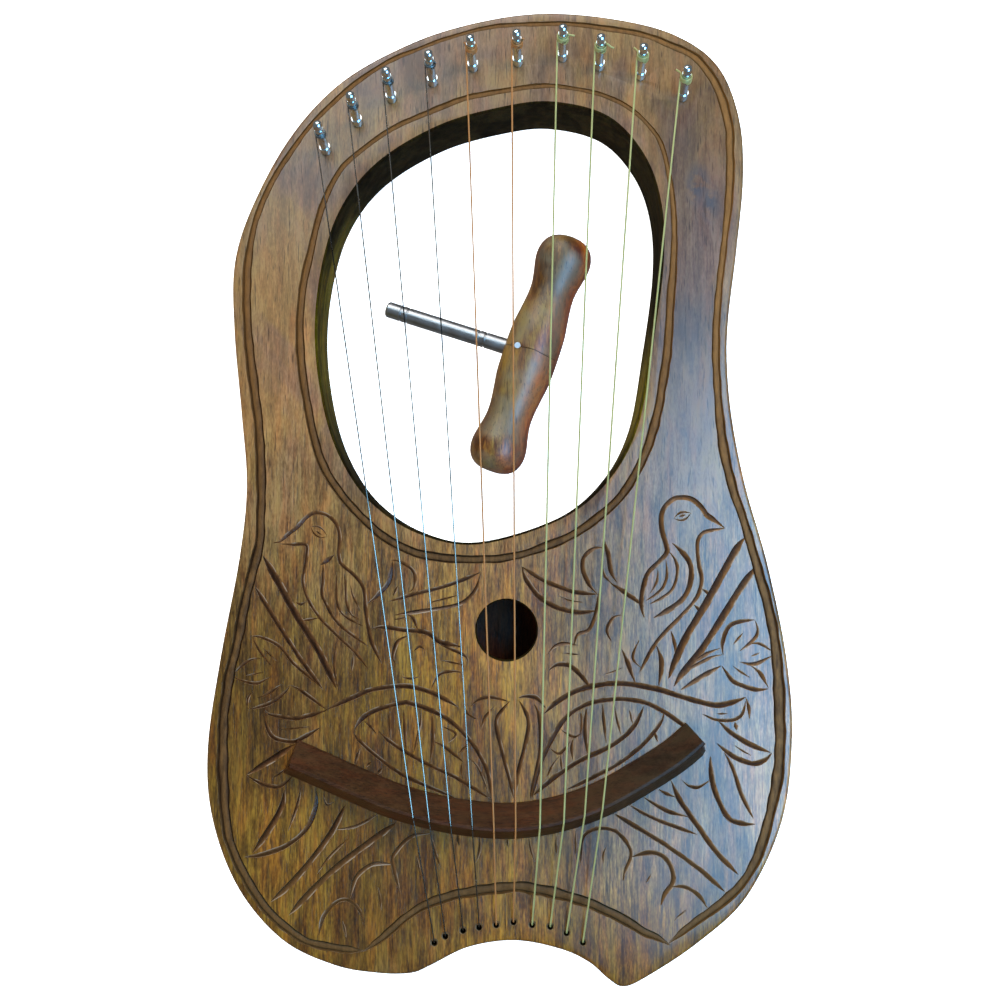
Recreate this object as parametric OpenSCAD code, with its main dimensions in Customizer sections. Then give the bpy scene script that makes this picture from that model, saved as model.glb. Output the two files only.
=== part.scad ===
// Ten-string wooden lyre, lying on its flat back, with its tuning key.
// The carved front faces +Z and the tuning pins are at the +Y end.
// The origin is at the middle of the outline, on the flat back.

/* [Body] */
// Thickness of the wooden body
body_t = 38; // [36:1:42]
// Thickness of the front plate over the sound box
front_t = 5; // [4:0.5:7]
// Thickness of the back plate
back_t = 4; // [3:0.5:5]
// Width of the ledge that the back plate is glued to
ledge_w = 5; // [4:0.5:7]
// Diameter of the sound hole
sound_hole_d = 33; // [26:1:36]

/* [Braces] */
// Width of each brace across the grain
brace_w = 10; // [6:1:14]
// Height of each brace under the front plate
brace_h = 12; // [8:1:16]

/* [Bridge] */
// Height of the bridge above the front
bridge_h = 14.5; // [12:0.5:18]
// Width of the bridge's foot on the side of the pins
bridge_in_w = 11; // [9:0.5:13]
// Width of the bridge's foot on the side of the tail
bridge_out_w = 8.5; // [7:0.5:10]

/* [Strings] */
// Diameter of the four steel strings
steel_d = 0.7; // [0.5:0.1:0.9]
// Diameter of the two copper-wound strings
copper_d = 0.9; // [0.7:0.1:1]
// Diameter of the four brass strings
brass_d = 1.0; // [0.8:0.1:1.1]
// Diameter of the string holes in the tail
string_hole_d = 3; // [2.6:0.1:3.4]

/* [Tuning pins] */
// Diameter of a pin's shank above the wood
pin_d = 4.8; // [4.6:0.1:5]
// Diameter of the threaded part that sits in the wood
pin_thread_d = 5; // [5:0.1:5.4]
// Height of a pin above the front, along its axis
pin_up = 26; // [24:0.5:28]
// Length of a pin inside the wood
pin_in = 21.5; // [18:0.5:24]
// Tilt of the pins towards the top end
pin_back = 13.5; // [8:0.5:16]
// Lean of the pins towards the left
pin_lean = 2.5; // [0:0.5:4]
// Radial gap between a pin and its hole
pin_gap = 0.05; // [0.02:0.01:0.09]
// Distance from the front to the string's first turn, along the pin
wrap_up = 15; // [13:0.5:16]

/* [Tuning key] */
// Length of the turned handle
handle_len = 142; // [130:1:146]
// Radius of the handle's two end bulbs
handle_bulb_r = 16; // [15:0.25:16.5]
// Distance from the handle's axis to the shaft's tip
shaft_len = 89; // [80:1:92]
// Diameter of the shaft
shaft_d = 9.2; // [8.6:0.1:9.6]
// Width of the square socket in the shaft's tip
socket_w = 4.6; // [4.5:0.1:4.8]
// Turn of the key on the surface, in degrees
key_turn = 19; // [17:0.5:21]

/* [Hidden] */
$fn = 64;
strings = 10;
gap = 0.05;             // gap between a string and what it passes or wraps
seat_gap = 0.15;        // gap round the back plate
curve_steps = 5;        // straight lengths between two points of an outline

// Outline of the body, clockwise from the top
outline_pts = [
    [22, 268.6], [61, 266], [97, 257], [122, 239], [134, 209], [136, 175], [132, 135],
    [127, 96], [126, 70], [128.5, 39], [135.5, 2], [147.5, -42], [157, -92], [159.6, -135],
    [153.5, -180], [134, -220.5], [107.5, -245], [79, -263.5], [66.5, -268.5], [58, -264],
    [48, -255.5], [32.5, -248.5], [8, -244], [-17, -247.5], [-37, -257], [-48, -261.3],
    [-66, -261.3], [-90, -257], [-118, -243.5], [-142, -216], [-156.5, -179], [-159.6, -141],
    [-153, -91], [-143.5, -38], [-139.8, 2], [-143, 42], [-147.5, 88], [-147.7, 127],
    [-137, 161.5], [-116, 200], [-88, 230], [-50, 251.5], [-15, 263]
];
// Opening between the arms
opening_pts = [
    [-101.3, 84], [-98.5, 121], [-88.4, 155], [-68, 182], [-34, 203], [2, 213.6], [30, 216.4],
    [60, 208.3], [79.5, 187], [88.7, 160], [89.7, 127], [83.5, 81], [75, 36], [58.5, 5.7],
    [32, -15.3], [-12, -28.5], [-44.5, -22.7], [-70, -6], [-86.5, 17.5], [-96.3, 46]
];
// Sound box, hollowed out from the back
hollow_pts = [
    [-123, -22], [-105, -4], [-84, -12], [-53, -34], [-12, -44], [38, -31], [66, -9], [90, 12],
    [111, 10], [123, -20], [135, -65], [144, -115], [142, -155], [130, -190], [106, -214],
    [60, -222], [8, -222], [-45, -222], [-102, -216], [-130, -192], [-143, -155], [-144, -118],
    [-135, -68]
];
// Feet of the tuning pins on the front, from the left
pin_feet = [
    [-97, 189.5], [-79.5, 205.5], [-60.5, 219], [-37.5, 228.3], [-15, 236.8], [10, 239.7],
    [35, 242.5], [55.5, 237.3], [78.5, 232], [102, 220]
];
// String holes in the tail, from the left
tail_holes = [
    [-35.5, -245], [-29.5, -241.5], [-20, -238.5], [-11.3, -236.8], [-2, -235.5], [7.3, -234],
    [17.4, -235.5], [27.2, -236.4], [36, -239.8], [44.8, -244.8]
];
// Where each string crosses the bridge
crossing_x = [-46.2, -37.6, -26.2, -14.7, -3.2, 8.3, 21.1, 33.8, 44.8, 54.3];

sound_hole_pos = [3.6, -76.6];
upper_brace_y = -53;
lower_brace_y = -112;
upper_brace_x = [-128, 129];
lower_brace_x = [-141, 142];

// Crest of the bridge, from the left
crest_pts = [
    [-114.5, -146], [-97, -153.5], [-80, -161], [-58, -170], [-34.5, -176.5], [-10, -180.3],
    [10, -180.7], [33, -177], [56, -169], [78, -157], [96, -145.5], [108.5, -135]
];
crest_half_w = 0.7;
crest_z = body_t + bridge_h;
end_slope = 3;          // how far the crest stops short of the foot at the left end
corner_r = 5;           // rounding of the foot's outer corner at the right end

counterbore_r = 3.25;
counterbore_depth = 8;
ball_r = 2;
ball_len = 3.4;
ball_top = counterbore_depth - 0.1;

pin_r = pin_d / 2;
pin_bore_r = pin_thread_d / 2 + pin_gap;
pin_bore_extra = 1;     // room under a pin
collar_r = pin_thread_d / 2 + 0.4;
collar_from = 0.9;
collar_to = 4.5;
square_from = 20.5;
square_w = 4.3;
head_dome_r = 2.9;
winding_turns = 3;
winding_pitch = 0.94;   // in wire diameters, so the turns join
wrap_angle = 260;
wrap_steps = 13;

handle_mid_r = 15.85;
groove_depth = 0.5;
key_centre = [17.7, 79.2];
shaft_drop = asin((handle_bulb_r - shaft_d / 2) / shaft_len);
shaft_past = 7;         // how far the shaft runs past the handle's axis
shaft_grooves = [28, 32, 76, 80];
socket_depth = 12;
nail_x = 6.5;           // distance from the handle's axis to the nail
nail_r = 0.9;
nail_head_r = 1.7;
nail_head_z = 14.1;     // distance from the shaft's axis to the underside of the nail's head
nail_gap = 0.05;
shaft_fit = 0.05;

wood = [0.45, 0.29, 0.18];
dark_wood = [0.24, 0.14, 0.09];
nickel = [0.78, 0.8, 0.82];
steel = [0.62, 0.62, 0.64];
copper = [0.68, 0.42, 0.28];
brass = [0.74, 0.7, 0.4];

function unit(v) = v / norm(v);

// Point between b and c on the smooth curve through a, b, c and d
function curve_point(a, b, c, d, t) =
    0.5 * (2 * b + (c - a) * t + (2 * a - 5 * b + 4 * c - d) * t * t
        + (3 * b - a - 3 * c + d) * t * t * t);

// Smooth closed curve through the points of p
function closed_curve(p, steps) = let (n = len(p)) [
    for (i = [0:n - 1], k = [0:steps - 1])
        curve_point(p[(i + n - 1) % n], p[i], p[(i + 1) % n], p[(i + 2) % n], k / steps)
];

// Smooth open curve through the points of p
function open_curve(p, steps) = let (n = len(p)) concat([
    for (i = [0:n - 2], k = [0:steps - 1])
        curve_point(p[max(i - 1, 0)], p[i], p[i + 1], p[min(i + 2, n - 1)], k / steps)
], [p[n - 1]]);

// The closed curve p, clockwise, moved outwards by d
function grown(p, d) = let (n = len(p)) [
    for (i = [0:n - 1])
        let (t = unit(p[(i + 1) % n] - p[(i + n - 1) % n])) p[i] + d * [-t[1], t[0]]
];

outline = closed_curve(outline_pts, curve_steps);
opening = closed_curve(opening_pts, curve_steps);
hollow = closed_curve(hollow_pts, curve_steps);
crest = open_curve(crest_pts, curve_steps);

function string_d(i) = i < 4 ? steel_d : i < 6 ? copper_d : brass_d;
function string_colour(i) = i < 4 ? steel : i < 6 ? copper : brass;

// Unit vectors of a pin: its axis and two square to it
pin_axis = unit([-tan(pin_lean), tan(pin_back), 1]);
pin_side = unit(cross(pin_axis, [0, 1, 0]));
pin_front = cross(pin_side, pin_axis);

function pin_foot(i) = [pin_feet[i][0], pin_feet[i][1], body_t];

// Point on string i's turn round its pin, at angle a from the pin's left side
function wrap_point(i, a) =
    let (r = pin_r + gap + string_d(i) / 2)
    pin_foot(i) + wrap_up * pin_axis + r * (cos(a) * pin_side + sin(a) * pin_front);

// Where string i crosses the crest of the bridge
function crossing(i) =
    [crossing_x[i], lookup(crossing_x[i], crest), crest_z + gap + string_d(i) / 2];

// Route of string i: up through the tail, over the bridge, round the pin
function string_route(i) =
    let (hole = tail_holes[i], c = crossing(i), r = string_d(i) / 2,
         leave = [hole[0], hole[1] + 1.9, body_t + r + 1],
         from_tail = unit(c - leave), to_pin = unit(wrap_point(i, 0) - c))
    concat(
        [[hole[0], hole[1], ball_top + 0.02], [hole[0], hole[1], body_t - 2.4],
         [hole[0], hole[1] + 0.25, body_t - 0.6], [hole[0], hole[1] + 0.9, body_t + r + 0.35],
         leave, c - 2.5 * from_tail - [0, 0, 0.25], c - 0.8 * from_tail, c + 1.2 * to_pin,
         c + 0.5 * (wrap_point(i, 0) - c)],
        [for (k = [0:wrap_steps]) wrap_point(i, k * wrap_angle / wrap_steps)]
    );

// Direction of travel at each point of a route
function headings(p) = let (n = len(p)) [
    for (i = [0:n - 1])
        i == 0 ? unit(p[1] - p[0]) : i == n - 1 ? unit(p[i] - p[i - 1])
        : unit(unit(p[i] - p[i - 1]) + unit(p[i + 1] - p[i]))
];

// Vectors square to the headings, turning as little as possible from one to the next
function sides_of(t, first) = [
    for (i = 0, v = first; i < len(t);
         i = i + 1, v = i < len(t) ? unit(v - (v * t[i]) * t[i]) : v) v
];

// Round wire of radius r along a route
module wire(route, r, sides = 8) {
    t = headings(route);
    u = sides_of(t, [1, 0, 0]);
    n = len(route);
    points = [
        for (i = [0:n - 1], k = [0:sides - 1])
            let (a = 360 * k / sides) route[i] + r * (cos(a) * u[i] + sin(a) * cross(t[i], u[i]))
    ];
    walls = [
        for (i = [0:n - 2], k = [0:sides - 1])
            let (a = i * sides + k, b = i * sides + (k + 1) % sides)
            each [[a, b + sides, b], [a, a + sides, b + sides]]
    ];
    ends = [[for (k = [0:sides - 1]) k], [for (k = [sides - 1:-1:0]) (n - 1) * sides + k]];
    polyhedron(points, concat(walls, ends));
}

// Puts its children on pin i, with Z along the pin's axis and 0 at the front
module at_pin(i) {
    multmatrix([
        [pin_side[0], pin_front[0], pin_axis[0], pin_foot(i)[0]],
        [pin_side[1], pin_front[1], pin_axis[1], pin_foot(i)[1]],
        [pin_side[2], pin_front[2], pin_axis[2], pin_foot(i)[2]]
    ]) children();
}

module body() {
    color(wood) difference() {
        linear_extrude(body_t) difference() {
            polygon(outline);
            polygon(opening);
        }
        translate([0, 0, -1]) linear_extrude(body_t - front_t + 1) polygon(hollow);
        translate([0, 0, -1]) linear_extrude(back_t + 1) polygon(grown(hollow, ledge_w));
        translate([sound_hole_pos[0], sound_hole_pos[1], 1]) cylinder(d = sound_hole_d, h = body_t);
        for (hole = tail_holes) translate([hole[0], hole[1], -1]) {
            cylinder(d = string_hole_d, h = body_t + 2);
            cylinder(r = counterbore_r, h = counterbore_depth + 1);
        }
        for (i = [0:strings - 1]) at_pin(i)
            translate([0, 0, -pin_in - pin_bore_extra])
                cylinder(r = pin_bore_r, h = pin_in + pin_bore_extra + 5);
    }
}

module back_plate() {
    color(wood) linear_extrude(back_t) polygon(grown(hollow, ledge_w - seat_gap));
}

// A brace across the sound box, glued under the front plate
module brace(x, y) {
    translate([x[0], y - brace_w / 2, body_t - front_t - brace_h])
        cube([x[1] - x[0], brace_w, brace_h]);
}

module upper_brace() {
    color(wood) brace(upper_brace_x, upper_brace_y);
}

module lower_brace() {
    color(wood) brace(lower_brace_x, lower_brace_y);
}

// Section of the bridge at point i of its crest: across it, then up
function bridge_section(out_w) = [
    [-bridge_in_w, 0], [-bridge_in_w + 0.4, 2], [-crest_half_w - 0.4, bridge_h - 0.4],
    [-crest_half_w, bridge_h], [crest_half_w, bridge_h], [crest_half_w + 0.5, bridge_h - 0.5],
    [out_w - 0.8, 2], [out_w, 0]
];

// Curved bar swept along the crest, with a sloped left end and a rounded right corner
module bridge() {
    n = len(crest);
    m = len(bridge_section(bridge_out_w));
    points = [
        for (i = [0:n - 1])
            let (t = unit(crest[min(i + 1, n - 1)] - crest[max(i - 1, 0)]), out = [t[1], -t[0]],
                 to_end = norm(crest[n - 1] - crest[i]), in_corner = max(0, corner_r - to_end),
                 out_w = bridge_out_w - corner_r + sqrt(corner_r * corner_r - in_corner * in_corner))
            for (q = bridge_section(out_w))
                let (p = crest[i] + q[0] * out + (i == 0 ? end_slope * q[1] / bridge_h : 0) * t)
                [p[0], p[1], body_t + q[1]]
    ];
    walls = [
        for (i = [0:n - 2], k = [0:m - 1])
            let (a = i * m + k, b = i * m + (k + 1) % m)
            each [[a, b, b + m], [a, b + m, a + m]]
    ];
    ends = [[for (k = [m - 1:-1:0]) k], [for (k = [0:m - 1]) (n - 1) * m + k]];
    color(dark_wood) polyhedron(points, concat(walls, ends));
}

module string(i) {
    color(string_colour(i)) wire(string_route(i), string_d(i) / 2);
}

module string_ball_ends() {
    color(brass) for (hole = tail_holes)
        translate([hole[0], hole[1], ball_top - ball_len]) cylinder(r = ball_r, h = ball_len);
}

// Tuning pin: threaded foot, round shank and a square head with a domed end
module tuning_pin(i) {
    color(nickel) at_pin(i) {
        translate([0, 0, -pin_in]) cylinder(d = pin_thread_d, h = pin_in + collar_from);
        translate([0, 0, collar_from]) cylinder(r = collar_r, h = collar_to - collar_from);
        translate([0, 0, collar_to]) cylinder(r = pin_r, h = square_from - collar_to);
        intersection() {
            translate([-square_w / 2, -square_w / 2, square_from])
                cube([square_w, square_w, pin_up - square_from]);
            cylinder(r = pin_r + 0.1, h = pin_up);
            translate([0, 0, pin_up - head_dome_r]) sphere(r = head_dome_r);
        }
    }
}

// Turns of string held by the pin, above the turn that slides on it
module winding(i) {
    d = string_d(i);
    color(string_colour(i)) at_pin(i)
        translate([0, 0, wrap_up + d * 1.1]) rotate_extrude()
            for (k = [0:winding_turns - 1])
                translate([pin_r + 0.02 + d / 2, k * winding_pitch * d]) circle(d = d, $fn = 24);
}

// Puts its children on the key: Y along the handle, X along the shaft towards its tip
module at_key() {
    translate([key_centre[0], key_centre[1], handle_bulb_r]) rotate([0, 0, 180 - key_turn])
        rotate([0, shaft_drop, 0]) children();
}

module key_handle() {
    half = handle_len / 2;
    side = [
        [0, half], [6, half - 0.4], [10.5, half - 2], [13.6, half - 5], [15.3, half - 9],
        [handle_bulb_r, half - 13.5], [15.6, half - 18], [14.3, half - 24], [13.2, half - 30],
        [12.95, half - 35], [13.4, half - 41], [14.4, half - 48.5], [15.6, half - 57],
        [handle_mid_r, 0]
    ];
    n = len(side);
    color(wood) at_key() difference() {
        rotate([-90, 0, 0]) rotate([0, 0, 90]) rotate_extrude()
            polygon(concat(side, [for (i = [n - 2:-1:0]) [side[i][0], -side[i][1]]]));
        translate([-shaft_past, 0, 0]) rotate([0, 90, 0])
            cylinder(d = shaft_d + 2 * shaft_fit, h = 40);
        translate([nail_x, 0, 0]) cylinder(r = nail_r + nail_gap, h = 30);
        translate([nail_x, 0, nail_head_z]) cylinder(r = nail_head_r + nail_gap, h = 10);
    }
}

module key_shaft() {
    r = shaft_d / 2;
    color(nickel) at_key() difference() {
        translate([-shaft_past, 0, 0]) rotate([0, 90, 0]) rotate_extrude() polygon(concat(
            [[0, 0], [r, 0]],
            [for (x = shaft_grooves) each
                [[r, shaft_past + x - 0.6], [r - groove_depth, shaft_past + x - 0.2],
                 [r - groove_depth, shaft_past + x + 0.2], [r, shaft_past + x + 0.6]]],
            [[r, shaft_past + shaft_len - 0.8], [r - 0.6, shaft_past + shaft_len],
             [0, shaft_past + shaft_len]]
        ));
        translate([shaft_len - socket_depth, -socket_w / 2, -socket_w / 2])
            cube([socket_depth + 1, socket_w, socket_w]);
        translate([nail_x, 0, -shaft_d]) cylinder(r = nail_r + nail_gap, h = 2 * shaft_d);
    }
}

module key_nail() {
    color(nickel) at_key() translate([nail_x, 0, 0]) {
        translate([0, 0, -3]) cylinder(r = nail_r, h = nail_head_z + 3);
        translate([0, 0, nail_head_z]) cylinder(r = nail_head_r, h = 0.8);
    }
}

body();
back_plate();
upper_brace();
lower_brace();
bridge();
string(0);  // string_01
string(1);  // string_02
string(2);  // string_03
string(3);  // string_04
string(4);  // string_05
string(5);  // string_06
string(6);  // string_07
string(7);  // string_08
string(8);  // string_09
string(9);  // string_10
string_ball_ends();
tuning_pin(0);  // tuning_pin_01
tuning_pin(1);  // tuning_pin_02
tuning_pin(2);  // tuning_pin_03
tuning_pin(3);  // tuning_pin_04
tuning_pin(4);  // tuning_pin_05
tuning_pin(5);  // tuning_pin_06
tuning_pin(6);  // tuning_pin_07
tuning_pin(7);  // tuning_pin_08
tuning_pin(8);  // tuning_pin_09
tuning_pin(9);  // tuning_pin_10
winding(0);  // winding_01
winding(1);  // winding_02
winding(2);  // winding_03
winding(3);  // winding_04
winding(4);  // winding_05
winding(5);  // winding_06
winding(6);  // winding_07
winding(7);  // winding_08
winding(8);  // winding_09
winding(9);  // winding_10
key_handle();
key_shaft();
key_nail();
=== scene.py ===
"""Looks of the ten-string lyre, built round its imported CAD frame.

Shapes are in millimetres until mesh_object() turns them into metres. Materials, lamps and the camera
are in metres.
"""

import math

import bmesh
import bpy
from mathutils import Matrix, Vector


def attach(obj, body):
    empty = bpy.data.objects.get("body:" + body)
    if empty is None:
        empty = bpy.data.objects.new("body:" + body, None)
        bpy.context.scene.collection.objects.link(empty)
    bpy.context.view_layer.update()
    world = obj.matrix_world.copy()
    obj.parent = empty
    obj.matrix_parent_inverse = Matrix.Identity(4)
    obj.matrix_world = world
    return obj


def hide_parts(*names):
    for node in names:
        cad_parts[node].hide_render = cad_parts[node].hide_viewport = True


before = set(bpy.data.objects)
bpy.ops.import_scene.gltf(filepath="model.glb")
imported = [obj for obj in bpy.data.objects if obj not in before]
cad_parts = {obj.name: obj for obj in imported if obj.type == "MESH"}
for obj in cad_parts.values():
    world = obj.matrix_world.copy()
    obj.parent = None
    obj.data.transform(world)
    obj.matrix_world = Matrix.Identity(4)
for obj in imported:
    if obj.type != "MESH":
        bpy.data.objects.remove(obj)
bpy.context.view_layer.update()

# ---------------------------------------------------------------- sizes shared with the CAD
STRINGS = 10
BODY_T = 38.0
FRONT_T = 5.0             # the plate in front of the hollow
BACK_T = 4.0
LEDGE = 5.0               # width of the ledge that holds the back plate
EDGE_R = 2.0
OPENING_EDGE_R = 1.3
SOUND_HOLE = (3.6, -76.6, 16.5)
HOLE_R = 1.5              # string holes in the tail
COUNTERBORE_R = 3.25
COUNTERBORE_DEPTH = 8.0
PIN_R = 2.4
PIN_BORE_R = 2.55
PIN_IN = 21.5             # length of a pin inside the body
PIN_BACK = math.radians(13.5)
PIN_LEAN = math.radians(2.5)
WRAP_UP = 15.0            # height of a string's turn on its pin

OUTLINE = [
    (22, 268.6), (61, 266), (97, 257), (122, 239), (134, 209), (136, 175), (132, 135),
    (127, 96), (126, 70), (128.5, 39), (135.5, 2), (147.5, -42), (157, -92), (159.6, -135),
    (153.5, -180), (134, -220.5), (107.5, -245), (79, -263.5), (66.5, -268.5), (58, -264),
    (48, -255.5), (32.5, -248.5), (8, -244), (-17, -247.5), (-37, -257), (-48, -261.3),
    (-66, -261.3), (-90, -257), (-118, -243.5), (-142, -216), (-156.5, -179), (-159.6, -141),
    (-153, -91), (-143.5, -38), (-139.8, 2), (-143, 42), (-147.5, 88), (-147.7, 127),
    (-137, 161.5), (-116, 200), (-88, 230), (-50, 251.5), (-15, 263),
]
OPENING = [
    (-101.3, 84), (-98.5, 121), (-88.4, 155), (-68, 182), (-34, 203), (2, 213.6), (30, 216.4),
    (60, 208.3), (79.5, 187), (88.7, 160), (89.7, 127), (83.5, 81), (75, 36), (58.5, 5.7),
    (32, -15.3), (-12, -28.5), (-44.5, -22.7), (-70, -6), (-86.5, 17.5), (-96.3, 46),
]
HOLLOW = [
    (-123, -22), (-105, -4), (-84, -12), (-53, -34), (-12, -44), (38, -31), (66, -9), (90, 12),
    (111, 10), (123, -20), (135, -65), (144, -115), (142, -155), (130, -190), (106, -214),
    (60, -222), (8, -222), (-45, -222), (-102, -216), (-130, -192), (-143, -155), (-144, -118),
    (-135, -68),
]
PIN_FEET = [
    (-97, 189.5), (-79.5, 205.5), (-60.5, 219), (-37.5, 228.3), (-15, 236.8), (10, 239.7),
    (35, 242.5), (55.5, 237.3), (78.5, 232), (102, 220),
]
TAIL_HOLES = [
    (-35.5, -245), (-29.5, -241.5), (-20, -238.5), (-11.3, -236.8), (-2, -235.5), (7.3, -234),
    (17.4, -235.5), (27.2, -236.4), (36, -239.8), (44.8, -244.8),
]
STRING_D = [0.7] * 4 + [0.9] * 2 + [1.0] * 4

# ---------------------------------------------------------------- the carving: (width, points)
CLOSED_CARVING = [
    # round the opening; the third number is the width there
    (4.0, [(-12, -38, 4.2), (-28, -37.5, 4.4), (-46, -34.5, 4.6), (-60, -28, 4.6), (-70, -20.5, 4.2),
        (-83.5, -7, 4.2), (-95, 9, 4.2), (-101.5, 25, 4.4), (-106, 45.5, 4.4), (-109.5, 66.5, 4.4),
        (-111, 90, 4.2), (-109.5, 112, 4.0), (-105.5, 132, 3.8), (-99, 158.5, 3.2), (-90, 177.5, 2.8),
        (-80, 188, 2.6), (-60, 202.5, 2.8), (-40, 211.5, 3.0), (-20, 219.5, 3.0), (0, 223.5, 2.8),
        (20, 226.5, 2.6), (32, 226.5, 2.4), (50, 223.5, 2.2), (60, 220.5, 2.4), (70, 215.5, 2.4),
        (80, 207.5, 2.2), (90, 193.5, 2.6), (95.5, 168, 2.6), (97, 144, 3.2), (96, 121, 4.0),
        (94.5, 104, 4.4), (93, 80.5, 4.6), (90, 59.5, 4.6), (86.5, 41, 4.8), (80, 20, 4.6), (67.5, -2, 4.4),
        (52, -16.5, 4.4), (38, -25.5, 4.4), (22, -32, 4.2), (11, -35.5, 4.0), (0, -37.5, 4.0)]),
]
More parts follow.
